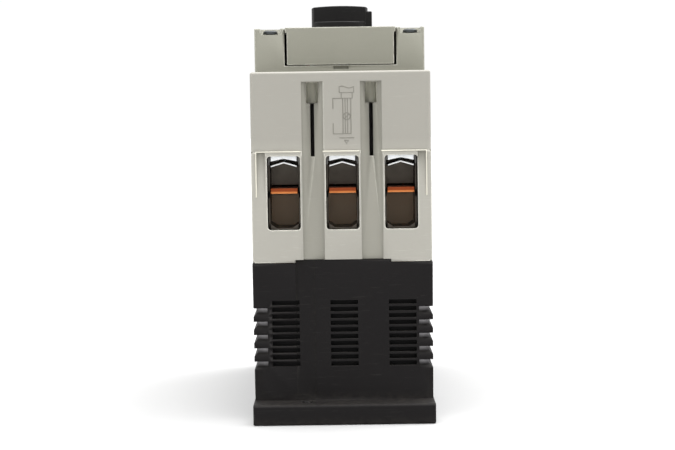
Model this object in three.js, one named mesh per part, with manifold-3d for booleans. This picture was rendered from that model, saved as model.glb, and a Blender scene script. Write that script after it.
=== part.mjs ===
// Three-pole motor protection breaker with box terminals, for a 35 mm rail or a panel.
// Millimetres. X runs across the poles, -Y is the line side, +Y the load side, and +Z points
// out of the breaker's front. The origin is the middle of the mounting face, which lies on z = 0.
import * as THREE from 'three';
import { mergeVertices } from 'three/addons/utils/BufferGeometryUtils.js';
import Module from 'manifold-3d';

const wasm = await Module();
wasm.setup();

// ---- driving dimensions ----
const gap = 0.3; // between pieces that touch on the real breaker
const over = 1; // how far a cut runs past the face that it opens
const axisX = 0.4; // the middle of the poles, the handle and the front panel
const polePitch = 22.7;
const poles = [axisX - polePitch, axisX, axisX + polePitch];
const barriers = [axisX - polePitch / 2, axisX + polePitch / 2];
const ends = [-1, 1]; // line side, load side
const sides = [-1, 1]; // left, right

const flange = { halfX: 35, halfY: 82.5, top: 7.8, chamfer: 0.8 };
const base = { halfX: 35, footHalfX: 34.6, halfY: 70.5, top: 61, wall: 2.5, floor: 14 };
const tongue = { left: -18, right: 18.6, thick: 2.3, top: 62.1 };
const housing = { halfX: 34.8, halfY: 70.5, bottom: 61.3, top: 135.05, ceiling: 131 };
const cavity = { halfX: 32.4, halfY: 43, barrierHalf: 1.2, barrierTop: 88 };
const seamY = 44.2; // where the middle shell ends and the terminal blocks begin
const cover = { halfX: 34.15, halfY: 40, bottom: 135.35, top: 153, wall: 2.2, ceiling: 150.8 };

const vent = { halfX: 5.35, height: 1.75, pitch: 2.66, count: 10, bottom: 20.85 };
const grip = {
  depth: 1.3, pitch: 5.2, count: 5, top: 43.7, step: 1.5, height: 2.9, inner: 29.4, length: 25,
};
const faceChannel = { left: -18.3, right: -10.7, depth: 1, bottom: 9.5 };
const fixing = { x: 14.8, y: 76, radius: 2.2 };

const rail = { halfOpening: 18.2, hookReach: 16.2, hookTop: 6.1, depth: 8.2 };
const latch = { halfX: 7, start: 16.2, end: 79, bottom: 2.4, top: 6, leadIn: 2.4, hook: 1.2 };
const latchEye = { halfX: 2.6, start: 72.4, end: 76.6 }; // where a screwdriver pulls the latch
const latchRelief = { halfX: 3, start: 34, end: 56 }; // the space of its spring
const latchWindow = { halfX: 3.4, start: 71.1, end: 80.5 };

const terminalY = 58; // from the middle of the breaker to each clamp screw
const mouth = { halfX: 6.4, bottom: 74, top: 102.55, radius: 1.3 };
const chamber = { halfX: 6.7, front: 68.7, back: 46, bottom: 72.5, top: 117.4 };
const upperPanel = { bottom: 104.35, depth: 0.7 };
const phaseChannel = { halfX: 4.15, bottom: 62.4, top: 131.2, depth: 1.6 };
const pocket = { halfX: 2.3, bottom: 122.8, top: 130.8, depth: 8 };
const slit = { halfX: 0.75, bottom: 102.3, top: 123, depth: 14 };
const edgeGroove = { inner: 29.5, outer: 32.9, bottom: 86.4, top: 104.35, depth: 1.5 };
const snapWindow = { halfY: 4.5, bottom: 64, top: 68.6, depth: 1.2, every: 54 };
const sidePad = { inner: 17, outer: 39, bottom: 97, top: 125, depth: 0.8 };
const sideSlot = { y: 28, halfY: 1.6, bottom: 104, top: 113, depth: 1.4 };
const plateRecess = { halfY: 34, bottom: 27, top: 49, depth: 0.6 };

const bar = {
  halfX: 5.35, bottom: 87.9, top: 90, front: 66, thick: 2.1, padEnd: 51.2, neckTop: 89.6,
  legY: 42.1, footHalfX: 4,
};
const loadFoot = { inner: 37.5, bottom: 40 };
const screw = { radius: 3.6, tip: 100.6, top: 127.5, hexFlats: 4, hexDepth: 4, taper: 0.7 };
const accessRadius = 4.5;
const cage = {
  halfX: 6.4, innerHalfX: 5.55, halfY: 8.9, setBack: 3.4, bottom: 72.9, top: 105.4,
  floor: 74.6, floorHalf: 3, corner: 76.2, shoulder: 100.3, apex: 101.5,
  roofHalfX: 5.15, backHalfX: 5.75, backWall: 1.5, backBottom: 90.6, screwHole: 3.95,
};
const plate = { halfX: 5.1, front: 8.7, back: 7, apex: 100.3, shoulder: 98.8, thick: 0.6 };

const contact = {
  lineY: -22, restY: -2, half: 2.5, thick: 1.6, bedded: 0.5, footReach: 4, footTop: 38,
  bridgeBottom: 47.6, bridgeThick: 2,
};
const carrier = {
  halfX: 31.4, y: -12, halfY: 3, bottom: 96, top: 101, legHalfX: 2.6, legHalfY: 2, legEnd: 50,
  armHalfX: 2.5, armReach: 6.5, pinY: 4, pinTop: 111.5, pinRadius: 1.8,
};
const lockFrame = { halfX: 14.5, halfY: 13, bottom: 104, top: 130.7, wall: 1.5, shaftHole: 6 };
const chute = {
  inner: 8, outer: 9, front: -38, back: 8, bottom: 16, top: 33, inset: 1,
  firstPlate: -36, lastPlate: 6, platePitch: 6, plateHalf: 0.6, plateHalfX: 8.5,
};
const coil = { y: 18, inner: 4.2, outer: 8, bottom: 30, turn: 3.4, turns: 6, groove: 1, footGap: 1.5 };
const plungerSize = { bottom: 33, radius: 3.6, shoulder: 53, rodRadius: 1.3, top: 91.6 };
const bimetal = { halfX: 4, front: 36, back: 37.2, bottom: 40, top: 93 };
const heater = { halfX: 5, front: 34.8, back: 38.4, bottom: 56, top: 76 };
const trip = { y: 27, z: 96, radius: 2.2, length: 62 };
const paddle = { halfX: 3, reach: 10, halfZ: 1 };
const finger = { halfX: 2, near: 1, far: 5.5, drop: 10 };
const testArm = { halfX: 1.5, past: 2, thick: 1.6 };
const testKey = {
  x: -14, y: 34, halfX: 2.4, halfY: 1.8, bottom: 146, top: 152.7, rodHalf: 1, rodEnd: 98, rodHole: 1.6,
};
const dial = {
  x: 14.5, y: 25, radius: 5.2, bottom: 148, top: 152.9, spindle: 2, spindleEnd: 140,
  slotHalfX: 0.7, slotHalfY: 4, slotDepth: 1.2, markHalfX: 0.4, markStart: 3.9, markDepth: 0.5,
};

const knob = { radius: 11.9, bottom: 153.5, top: 163.8, sag: 0.6, barHalfY: 5, shelf: 157 };
const lug = { inner: 8, outer: 13.6, halfY: 4.6, bottom: 154.5, top: 161.4 };
const tab = { start: 1.5, end: 13.4, halfY: 3.1, bottom: 158.8, top: 160.3, hole: 2.1, holeX: 9.6 };
const shaft = { half: 3.5, bottom: 116, top: 157.9, camRadius: 9, camThick: 4 };
const shaftHole = 6.2;

const auxPanel = {
  halfX: 21.5, lipHalfX: 22.2, openHalfX: 22.5, front: 40.3, thick: 2.1, back: 27.3,
  bottom: 138.3, lipBottom: 151.2, top: 153.3,
};
const auxLeg = { x: 17, halfX: 1.5, end: 33, bottom: 140, top: 141.6 };
const coverLatchSlot = { left: -2.5, right: 3.6, depth: 1.2, bottom: 136.5, top: 137.7 };
const recess = { inner: 24.1, outer: 32.2, y: 31.5, floor: 150.5 };
const coverScrew = {
  x: 28.2, y: 35.8, radius: 1.8, bottom: 132, hole: 2.15, headRadius: 3.1, headTop: 152.4,
  rim: 0.3, rimDrop: 0.5, crown: 1.2, crossReach: 2, crossHalf: 0.4, crossDepth: 1,
};
const label = { halfX: 18, front: 25.2, back: 15, bottom: 152.7, top: 153.2 };

// ---- finishes ----
const finishes = {
  darkPlastic: { color: 0x2a282a, roughness: 0.62, metalness: 0 },
  lightPlastic: { color: 0xb5b2a8, roughness: 0.55, metalness: 0 },
  coverPlastic: { color: 0xa8a79c, roughness: 0.55, metalness: 0 },
  blackPlastic: { color: 0x1b1d1e, roughness: 0.5, metalness: 0 },
  whitePlastic: { color: 0xe8e6df, roughness: 0.45, metalness: 0 },
  redPlastic: { color: 0xb3261e, roughness: 0.45, metalness: 0 },
  innerPlastic: { color: 0x4a3a2e, roughness: 0.6, metalness: 0 },
  copper: { color: 0xb8693a, roughness: 0.35, metalness: 1 },
  zincSteel: { color: 0xc9ccce, roughness: 0.3, metalness: 1 },
  darkSteel: { color: 0x77756f, roughness: 0.45, metalness: 1 },
};

// ---- shapes ----
const toUpright = new THREE.Matrix4().makeRotationX(Math.PI / 2);
const planes = {
  yz: new THREE.Matrix4().makeBasis(
    new THREE.Vector3(0, 1, 0), new THREE.Vector3(0, 0, 1), new THREE.Vector3(1, 0, 0)),
  xz: new THREE.Matrix4().makeBasis(
    new THREE.Vector3(1, 0, 0), new THREE.Vector3(0, 0, 1), new THREE.Vector3(0, -1, 0)),
};

// A closed geometry as a solid that can be cut and joined.
function toSolid(geometry) {
  geometry.deleteAttribute('normal');
  geometry.deleteAttribute('uv');
  const welded = mergeVertices(geometry, 1e-4);
  const corners = welded.index.array;
  const triangles = [];
  for (let i = 0; i < corners.length; i += 3) {
    const [a, b, c] = corners.slice(i, i + 3);
    if (a !== b && b !== c && c !== a) triangles.push(a, b, c);
  }
  return new wasm.Manifold(new wasm.Mesh({
    numProp: 3,
    vertProperties: Float32Array.from(welded.attributes.position.array),
    triVerts: Uint32Array.from(triangles),
  }));
}

function block(x0, x1, y0, y1, z0, z1) {
  const geometry = new THREE.BoxGeometry(x1 - x0, y1 - y0, z1 - z0);
  geometry.translate((x0 + x1) / 2, (y0 + y1) / 2, (z0 + z1) / 2);
  return toSolid(geometry);
}

// A block given from the middle of the breaker outwards, on the line or the load side.
function endBlock(end, x0, x1, inner, outer, z0, z1) {
  const [y0, y1] = end < 0 ? [-outer, -inner] : [inner, outer];
  return block(x0, x1, y0, y1, z0, z1);
}

// A block given from the middle plane outwards, on the left or the right.
function sideBlock(side, inner, outer, y0, y1, z0, z1) {
  const [x0, x1] = side < 0 ? [-outer, -inner] : [inner, outer];
  return block(x0, x1, y0, y1, z0, z1);
}

function post(x, y, z0, z1, radius, facets = 24) {
  const geometry = new THREE.CylinderGeometry(radius, radius, z1 - z0, facets);
  geometry.applyMatrix4(toUpright);
  geometry.translate(x, y, (z0 + z1) / 2);
  return toSolid(geometry);
}

// A profile of [radius, height] points, from the axis round to the axis, turned about Z.
function turned(profile, facets = 20) {
  const points = profile.map(([radius, height]) => new THREE.Vector2(radius, height));
  const geometry = new THREE.LatheGeometry(points, facets);
  geometry.applyMatrix4(toUpright);
  return toSolid(geometry);
}

// An outline swept straight: 'yz' along X, 'xz' along Y.
function swept(outline, plane, from, to) {
  const shape = outline instanceof THREE.Shape
    ? outline
    : new THREE.Shape(outline.map(([a, b]) => new THREE.Vector2(a, b)));
  const geometry = new THREE.ExtrudeGeometry(shape, {
    depth: to - from, bevelEnabled: false, curveSegments: 4,
  });
  geometry.translate(0, 0, plane === 'xz' ? -to : from);
  geometry.applyMatrix4(planes[plane]);
  return toSolid(geometry);
}

function joined(solids) {
  return solids.reduce((sum, solid) => sum.add(solid));
}

function cut(solid, tools) {
  return solid.subtract(joined(tools));
}

function roundedRectangle(x0, x1, y0, y1, radius) {
  const shape = new THREE.Shape();
  shape.moveTo(x0 + radius, y0);
  shape.absarc(x1 - radius, y0 + radius, radius, -Math.PI / 2, 0);
  shape.absarc(x1 - radius, y1 - radius, radius, 0, Math.PI / 2);
  shape.absarc(x0 + radius, y1 - radius, radius, Math.PI / 2, Math.PI);
  shape.absarc(x0 + radius, y0 + radius, radius, Math.PI, 1.5 * Math.PI);
  shape.closePath();
  return shape;
}

const breaker = new THREE.Group();

// Adds one piece to a group, under its own name and with a finish of its own.
function addPiece(name, solid, finish, parent = breaker) {
  const { vertProperties, triVerts } = solid.getMesh();
  const geometry = new THREE.BufferGeometry();
  geometry.setAttribute('position', new THREE.BufferAttribute(vertProperties, 3));
  geometry.setIndex(new THREE.BufferAttribute(triVerts, 1));
  geometry.computeVertexNormals();
  const mesh = new THREE.Mesh(geometry, new THREE.MeshStandardMaterial(finishes[finish]));
  mesh.name = name;
  parent.add(mesh);
  return mesh;
}

// ---- housings ----

// The three spaces between the side walls and the two phase barriers.
function poleSpaces(halfY, z0, z1) {
  const walls = [-cavity.halfX - cavity.barrierHalf, ...barriers, cavity.halfX + cavity.barrierHalf];
  return poles.map((_, i) => block(
    walls[i] + cavity.barrierHalf, walls[i + 1] - cavity.barrierHalf, -halfY, halfY, z0, z1));
}

// Finger grooves round the four upright corners: a sharp upper edge, and a slope back out.
function gripGrooves() {
  const tools = [];
  for (let i = 0; i < grip.count; i += 1) {
    const top = grip.top - i * grip.pitch;
    const profile = (face) => [
      [face + over, top],
      [face - grip.depth, top],
      [face - grip.depth, top - grip.step],
      [face + over, top - grip.height - grip.depth],
    ];
    for (const end of ends) {
      const acrossEnd = profile(base.halfY).map(([y, z]) => [end * y, z]);
      for (const side of sides) {
        const alongSide = profile(base.footHalfX).map(([x, z]) => [side * x, z]);
        const [x0, x1] = side < 0 ? [-base.halfX - over, -grip.inner] : [grip.inner, base.halfX + over];
        tools.push(swept(acrossEnd, 'yz', x0, x1));
        const near = base.halfY - grip.length;
        const far = base.halfY + over;
        tools.push(swept(alongSide, 'xz', end < 0 ? -far : near, end < 0 ? -near : far));
      }
    }
  }
  return tools;
}

function vents() {
  const tools = [];
  for (const end of ends) {
    for (const x of poles) {
      for (let i = 0; i < vent.count; i += 1) {
        const z = vent.bottom + i * vent.pitch;
        tools.push(endBlock(end, x - vent.halfX, x + vent.halfX,
          base.halfY - base.wall - over, base.halfY + over, z, z + vent.height));
      }
    }
  }
  return tools;
}

// The shallow recesses in both flanks of the base, where a printed plate is stuck on.
function plateRecesses() {
  return sides.map((side) => sideBlock(side, base.footHalfX - plateRecess.depth, base.halfX + over,
    -plateRecess.halfY, plateRecess.halfY, plateRecess.bottom, plateRecess.top));
}

function baseHousing() {
  const shell = swept([
    [-base.footHalfX, 0],
    [base.footHalfX, 0],
    [base.halfX, base.top],
    [-base.halfX, base.top],
  ], 'xz', -base.halfY, base.halfY);
  const foot = swept([
    [-flange.halfY, 0],
    [flange.halfY, 0],
    [flange.halfY, flange.top - flange.chamfer],
    [flange.halfY - flange.chamfer, flange.top],
    [flange.chamfer - flange.halfY, flange.top],
    [-flange.halfY, flange.top - flange.chamfer],
  ], 'yz', -flange.halfX, flange.halfX);
  const tongues = ends.map((end) => endBlock(end, tongue.left, tongue.right,
    base.halfY - tongue.thick, base.halfY, base.top - over, tongue.top));
  const railChannel = swept([
    [-rail.hookReach, -over],
    [rail.halfOpening, -over],
    [rail.halfOpening, rail.depth],
    [-rail.halfOpening, rail.depth],
    [-rail.halfOpening, rail.hookTop],
    [-rail.hookReach, rail.hookTop],
  ], 'yz', -flange.halfX - over, flange.halfX + over);
  const latchSlot = block(-latch.halfX - gap, latch.halfX + gap,
    rail.halfOpening - over, flange.halfY + over, latch.bottom - gap, latch.top + gap);
  const window = block(-latchWindow.halfX, latchWindow.halfX, latchWindow.start, latchWindow.end,
    latch.top, flange.top + over);
  const fixings = ends.map((end) => post(axisX + end * fixing.x, end * fixing.y,
    -over, flange.top + over, fixing.radius, 16));
  const channels = block(faceChannel.left, faceChannel.right, -base.halfY - over,
    -base.halfY + faceChannel.depth, faceChannel.bottom, tongue.top + over);
  return cut(joined([shell, foot, ...tongues]), [
    ...poleSpaces(base.halfY - base.wall, base.floor, tongue.top + over),
    railChannel, latchSlot, window, channels, ...fixings,
    ...plateRecesses(), ...gripGrooves(), ...vents(),
  ]);
}

// One terminal's chamber, its wire mouth, the bore for the screwdriver and the slot for the bar.
function terminalSpace(end, x) {
  const [y0, y1] = end < 0 ? [-housing.halfY - over, -chamber.front + over]
    : [chamber.front - over, housing.halfY + over];
  const mouthOutline = roundedRectangle(x - mouth.halfX, x + mouth.halfX, mouth.bottom, mouth.top,
    mouth.radius);
  return joined([
    endBlock(end, x - chamber.halfX, x + chamber.halfX, chamber.back, chamber.front,
      chamber.bottom, chamber.top),
    swept(mouthOutline, 'xz', y0, y1),
    post(x, end * terminalY, chamber.top - over, housing.top + over, accessRadius),
    endBlock(end, x - bar.halfX - gap, x + bar.halfX + gap, cavity.halfY - over, chamber.back + over,
      bar.bottom - gap, bar.top + gap),
  ]);
}

// The shallow channel between two poles, with its accessory pocket and barrier slit.
function phaseSpace(end, x) {
  const face = housing.halfY + over;
  const floor = housing.halfY - phaseChannel.depth;
  return joined([
    endBlock(end, x - phaseChannel.halfX, x + phaseChannel.halfX, floor, face,
      phaseChannel.bottom, phaseChannel.top),
    endBlock(end, x - pocket.halfX, x + pocket.halfX, floor - pocket.depth, face, pocket.bottom, pocket.top),
    endBlock(end, x - slit.halfX, x + slit.halfX, floor - slit.depth, face, slit.bottom, slit.top),
  ]);
}

function edgeGrooves(end) {
  const outline = [
    [end * housing.halfY, edgeGroove.bottom],
    [end * (housing.halfY + over), edgeGroove.bottom],
    [end * (housing.halfY + over), edgeGroove.top],
    [end * (housing.halfY - edgeGroove.depth), edgeGroove.top],
  ];
  return sides.map((side) => swept(outline, 'yz',
    side < 0 ? -edgeGroove.outer : edgeGroove.inner, side < 0 ? -edgeGroove.inner : edgeGroove.outer));
}

// Both flanks: windows over the snap joints to the base, and pads with a slot for side accessories.
function flankCuts() {
  const face = housing.halfX;
  const tools = [];
  for (const side of sides) {
    for (const y of [-snapWindow.every, 0, snapWindow.every]) {
      tools.push(sideBlock(side, face - snapWindow.depth, face + over,
        y - snapWindow.halfY, y + snapWindow.halfY, snapWindow.bottom, snapWindow.top));
    }
    for (const end of ends) {
      const [y0, y1] = end < 0 ? [-sidePad.outer, -sidePad.inner] : [sidePad.inner, sidePad.outer];
      tools.push(
        sideBlock(side, face - sidePad.depth, face + over, y0, y1, sidePad.bottom, sidePad.top),
        sideBlock(side, face - sideSlot.depth, face, end * sideSlot.y - sideSlot.halfY,
          end * sideSlot.y + sideSlot.halfY, sideSlot.bottom, sideSlot.top),
      );
    }
  }
  return tools;
}

// The whole light housing, before it is parted into a middle shell and two terminal blocks.
function lightHousing() {
  const outer = block(-housing.halfX, housing.halfX, -housing.halfY, housing.halfY,
    housing.bottom, housing.top);
  const mechanismSpace = block(-cavity.halfX, cavity.halfX, -cavity.halfY, cavity.halfY,
    cavity.barrierTop, housing.ceiling);
  const tools = [
    ...poleSpaces(cavity.halfY, housing.bottom - over, cavity.barrierTop + over),
    mechanismSpace,
    ...flankCuts(),
    post(axisX, 0, housing.ceiling - over, housing.top + over, shaftHole),
    block(testKey.x - testKey.rodHole, testKey.x + testKey.rodHole,
      testKey.y - testKey.rodHole, testKey.y + testKey.rodHole, housing.ceiling - over, housing.top + over),
  ];
  for (const end of ends) {
    tools.push(
      endBlock(end, -housing.halfX - over, housing.halfX + over, housing.halfY - upperPanel.depth,
        housing.halfY + over, upperPanel.bottom, housing.top + over),
      endBlock(end, tongue.left - gap, tongue.right + gap, housing.halfY - tongue.thick - gap,
        housing.halfY + over, housing.bottom - over, tongue.top + gap),
      ...poles.map((x) => terminalSpace(end, x)),
      ...barriers.map((x) => phaseSpace(end, x)),
      ...edgeGrooves(end),
      ...sides.map((side) => post(axisX + side * coverScrew.x, end * coverScrew.y,
        housing.ceiling - over, housing.top + over, coverScrew.hole, 16)),
    );
  }
  return cut(outer, tools);
}

function housingSlice(y0, y1) {
  const halfX = housing.halfX + over;
  return block(-halfX, halfX, y0, y1, housing.bottom - over, housing.top + over);
}

function middleHousing(whole) {
  return whole.intersect(housingSlice(-seamY, seamY));
}

function terminalBlock(whole, end) {
  const inner = seamY + gap;
  const outer = housing.halfY + over;
  return whole.intersect(end < 0 ? housingSlice(-outer, -inner) : housingSlice(inner, outer));
}

function frontCover() {
  const outer = block(-cover.halfX, cover.halfX, -cover.halfY, cover.halfY, cover.bottom, cover.top);
  const innerX = cover.halfX - cover.wall;
  const innerY = cover.halfY - cover.wall;
  const bossX = recess.inner - cover.wall;
  const bossY = recess.y - cover.wall;
  const tools = [
    block(-innerX, innerX, -bossY, bossY, cover.bottom - over, cover.ceiling),
    block(-bossX, bossX, -innerY, innerY, cover.bottom - over, cover.ceiling),
    post(axisX, 0, cover.ceiling - over, cover.top + over, shaftHole),
    post(dial.x, dial.y, cover.ceiling - over, cover.top + over, dial.radius + gap),
    block(testKey.x - testKey.halfX - gap, testKey.x + testKey.halfX + gap,
      testKey.y - testKey.halfY - gap, testKey.y + testKey.halfY + gap,
      cover.ceiling - over, cover.top + over),
    block(axisX - auxPanel.openHalfX, axisX + auxPanel.openHalfX,
      -cover.halfY - over, -auxPanel.back + gap, auxPanel.bottom - gap, cover.top + over),
    block(coverLatchSlot.left, coverLatchSlot.right, -cover.halfY - over,
      -cover.halfY + coverLatchSlot.depth, coverLatchSlot.bottom, coverLatchSlot.top),
    block(axisX - label.halfX - gap, axisX + label.halfX + gap,
      -label.front - gap, -label.back + gap, label.bottom - gap, cover.top + over),
  ];
  for (const end of ends) {
    for (const side of sides) {
      const [x0, x1] = side < 0 ? [axisX - recess.outer, axisX - recess.inner]
        : [axisX + recess.inner, axisX + recess.outer];
      tools.push(
        endBlock(end, x0, x1, recess.y, cover.halfY + over, recess.floor, cover.top + over),
        post(axisX + side * coverScrew.x, end * coverScrew.y, cover.bottom - over, cover.top,
          coverScrew.hole, 16),
      );
    }
  }
  return cut(outer, tools);
}

// The panel over the auxiliary contact slot: an upright plate under a lip, with two snap legs.
function auxSlotPanel() {
  const legs = sides.map((side) => {
    const x = axisX + side * auxLeg.x;
    return block(x - auxLeg.halfX, x + auxLeg.halfX, over - auxPanel.front, -auxLeg.end,
      auxLeg.bottom, auxLeg.top);
  });
  return joined([
    block(axisX - auxPanel.halfX, axisX + auxPanel.halfX,
      -auxPanel.front, auxPanel.thick - auxPanel.front, auxPanel.bottom, auxPanel.lipBottom + over),
    block(axisX - auxPanel.lipHalfX, axisX + auxPanel.lipHalfX, -auxPanel.front, -auxPanel.back,
      auxPanel.lipBottom, auxPanel.top),
    ...legs,
  ]);
}

function railLatch() {
  const strip = swept([
    [latch.start, latch.top],
    [latch.start, latch.top - latch.hook],
    [latch.start + latch.leadIn, latch.bottom],
    [latch.end, latch.bottom],
    [latch.end, latch.top],
  ], 'yz', -latch.halfX, latch.halfX);
  return cut(strip, [latchEye, latchRelief].map((hole) => block(-hole.halfX, hole.halfX,
    hole.start, hole.end, latch.bottom - over, latch.top + over)));
}

// ---- operating parts, about the handle's axis ----

function rotaryHandle() {
  const arcRadius = (knob.radius ** 2 + knob.sag ** 2) / (2 * knob.sag);
  const halfAngle = Math.asin(knob.radius / arcRadius);
  const arched = new THREE.Shape();
  arched.moveTo(-knob.radius, knob.bottom);
  arched.lineTo(knob.radius, knob.bottom);
  arched.absarc(0, knob.top - arcRadius, arcRadius, Math.PI / 2 - halfAngle, Math.PI / 2 + halfAngle);
  arched.closePath();
  const disc = post(0, 0, knob.bottom, knob.top + over, knob.radius, 40)
    .intersect(swept(arched, 'xz', -knob.radius, knob.radius));
  const scoops = sides.map((side) => endBlock(side, -knob.radius - over, knob.radius + over,
    knob.barHalfY, knob.radius + over, knob.shelf, knob.top + over));
  const pointer = block(lug.inner, lug.outer, -lug.halfY, lug.halfY, lug.bottom, lug.top);
  return cut(disc.add(pointer), [
    ...scoops,
    block(-shaft.half - gap, shaft.half + gap, -shaft.half - gap, shaft.half + gap,
      knob.bottom - over, shaft.top + gap),
    block(tab.start - gap, lug.outer + over, -tab.halfY - gap, tab.halfY + gap,
      tab.bottom - gap, tab.top + gap),
  ]);
}

function handleShaft() {
  const square = block(-shaft.half, shaft.half, -shaft.half, shaft.half, shaft.bottom - over, shaft.top);
  const cam = post(0, 0, shaft.bottom - shaft.camThick, shaft.bottom, shaft.camRadius, 20);
  return square.add(cam);
}

function lockTab() {
  const strip = block(tab.start, tab.end, -tab.halfY, tab.halfY, tab.bottom, tab.top);
  return cut(strip, [post(tab.holeX, 0, tab.bottom - over, tab.top + over, tab.hole, 16)]);
}

function settingDial() {
  const body = post(0, 0, dial.bottom, dial.top, dial.radius, 28)
    .add(post(0, 0, dial.spindleEnd, dial.bottom + over, dial.spindle, 12));
  return cut(body, [
    block(-dial.slotHalfX, dial.slotHalfX, -dial.slotHalfY, dial.slotHalfY,
      dial.top - dial.slotDepth, dial.top + over),
    block(-dial.markHalfX, dial.markHalfX, dial.markStart, dial.radius + over,
      dial.top - dial.markDepth, dial.top + over),
  ]);
}

function testButton() {
  const key = block(-testKey.halfX, testKey.halfX, -testKey.halfY, testKey.halfY,
    testKey.bottom, testKey.top);
  return key.add(block(-testKey.rodHalf, testKey.rodHalf, -testKey.rodHalf, testKey.rodHalf,
    testKey.rodEnd, testKey.bottom + over));
}

function switchFrame() {
  const { halfX, halfY, bottom, top, wall } = lockFrame;
  const frame = block(axisX - halfX, axisX + halfX, -halfY, halfY, bottom, top);
  return cut(frame, [
    block(axisX - halfX + wall, axisX + halfX - wall, -halfY - over, halfY + over,
      bottom - over, top - wall),
    post(axisX, 0, top - wall - over, top + over, lockFrame.shaftHole, 20),
  ]);
}

function contactCarrier() {
  const crossbar = block(axisX - carrier.halfX, axisX + carrier.halfX,
    carrier.y - carrier.halfY, carrier.y + carrier.halfY, carrier.bottom, carrier.top);
  const legs = poles.map((x) => block(x - carrier.legHalfX, x + carrier.legHalfX,
    carrier.y - carrier.legHalfY, carrier.y + carrier.legHalfY, carrier.legEnd, carrier.bottom + over));
  const arm = block(axisX - carrier.armHalfX, axisX + carrier.armHalfX,
    carrier.y, carrier.y + carrier.armReach, carrier.bottom, carrier.top);
  const camPin = post(axisX, carrier.y + carrier.pinY, carrier.top - over, carrier.pinTop,
    carrier.pinRadius, 12);
  return joined([crossbar, arm, camPin, ...legs]);
}

// A shaft across the three poles: a paddle over each plunger, a finger at each bimetal strip.
function tripBar() {
  const axle = new THREE.CylinderGeometry(trip.radius, trip.radius, trip.length, 12);
  axle.rotateZ(Math.PI / 2);
  axle.translate(axisX, trip.y, trip.z);
  const paddles = poles.map((x) => block(x - paddle.halfX, x + paddle.halfX,
    trip.y - paddle.reach, trip.y, trip.z - paddle.halfZ, trip.z + paddle.halfZ));
  const fingers = poles.map((x) => block(x - finger.halfX, x + finger.halfX,
    trip.y + finger.near, trip.y + finger.far, trip.z - finger.drop, trip.z));
  const arm = block(testKey.x - testArm.halfX, testKey.x + testArm.halfX,
    trip.y, testKey.y + testArm.past, trip.z, trip.z + testArm.thick);
  return joined([toSolid(axle), ...paddles, ...fingers, arm]);
}

// ---- one terminal, about its clamp screw ----

function clampCage() {
  const opening = [
    [-cage.innerHalfX, cage.corner],
    [-cage.floorHalf, cage.floor],
    [cage.floorHalf, cage.floor],
    [cage.innerHalfX, cage.corner],
    [cage.innerHalfX, cage.shoulder],
    [0, cage.apex],
    [-cage.innerHalfX, cage.shoulder],
  ];
  const frame = block(-cage.halfX, cage.halfX, cage.setBack - cage.halfY, cage.halfY,
    cage.bottom, cage.top);
  const roof = block(-cage.roofHalfX, cage.roofHalfX, -cage.halfY, 0, cage.shoulder, cage.top);
  const sill = block(-cage.innerHalfX, cage.innerHalfX, -cage.halfY, 0, cage.bottom, cage.corner);
  const back = block(-cage.backHalfX, cage.backHalfX, cage.halfY - cage.backWall, cage.halfY,
    cage.backBottom, cage.apex + over);
  const hollow = cut(joined([frame, roof, sill]), [
    swept(opening, 'xz', -cage.halfY - over, cage.halfY + over),
  ]);
  return cut(hollow.add(back), [post(0, 0, cage.shoulder - over, cage.top + over, cage.screwHole, 20)]);
}

function pressurePlate() {
  return swept([
    [-plate.halfX, plate.shoulder - plate.thick],
    [0, plate.apex - plate.thick],
    [plate.halfX, plate.shoulder - plate.thick],
    [plate.halfX, plate.shoulder],
    [0, plate.apex],
    [-plate.halfX, plate.shoulder],
  ], 'xz', -plate.front, plate.back);
}

function clampScrew() {
  const body = turned([
    [0, screw.tip],
    [screw.radius - screw.taper, screw.tip],
    [screw.radius, screw.tip + screw.taper],
    [screw.radius, screw.top - screw.taper],
    [screw.radius - screw.taper, screw.top],
    [0, screw.top],
  ], 20);
  const cornerRadius = screw.hexFlats / 2 / Math.cos(Math.PI / 6);
  return cut(body, [post(0, 0, screw.top - screw.hexDepth, screw.top + over, cornerRadius, 6)]);
}

// ---- one pole's current path, about the pole's middle plane ----

// A silver tip on a fixed foot or on the moving bridge.
function contactTip(y, z0, z1) {
  return block(-contact.half, contact.half, y - contact.half, y + contact.half, z0, z1);
}

// The part of a terminal bar inside its clamp: a raised pad, and a neck into the housing.
function terminalBar(end) {
  return joined([
    endBlock(end, -bar.halfX, bar.halfX, bar.padEnd, bar.front, bar.bottom, bar.top),
    endBlock(end, -bar.halfX, bar.halfX, bar.legY - bar.thick, bar.padEnd + over,
      bar.bottom, bar.neckTop),
  ]);
}

function lineBar() {
  const footBottom = contact.footTop - bar.thick;
  return joined([
    terminalBar(-1),
    block(-bar.halfX, bar.halfX, -bar.legY, bar.thick - bar.legY, footBottom, bar.neckTop),
    block(-bar.footHalfX, bar.footHalfX, -bar.legY, contact.lineY + contact.footReach,
      footBottom, contact.footTop),
    contactTip(contact.lineY, contact.footTop - contact.bedded, contact.footTop + contact.thick),
  ]);
}

function loadBar() {
  return joined([
    terminalBar(1),
    block(-bar.halfX, bar.halfX, bar.legY - bar.thick, bar.legY, loadFoot.bottom, bar.neckTop),
    block(-bar.footHalfX, bar.footHalfX, loadFoot.inner, bar.legY,
      loadFoot.bottom, loadFoot.bottom + bar.thick),
  ]);
}

function contactBridge() {
  const bottom = contact.bridgeBottom;
  const tips = [contact.lineY, contact.restY].map((y) => contactTip(y,
    bottom - contact.thick, bottom + contact.bedded));
  return joined([
    block(-bar.footHalfX, bar.footHalfX, contact.lineY - contact.footReach,
      contact.restY + contact.footReach, bottom, bottom + contact.bridgeThick),
    ...tips,
  ]);
}

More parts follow.
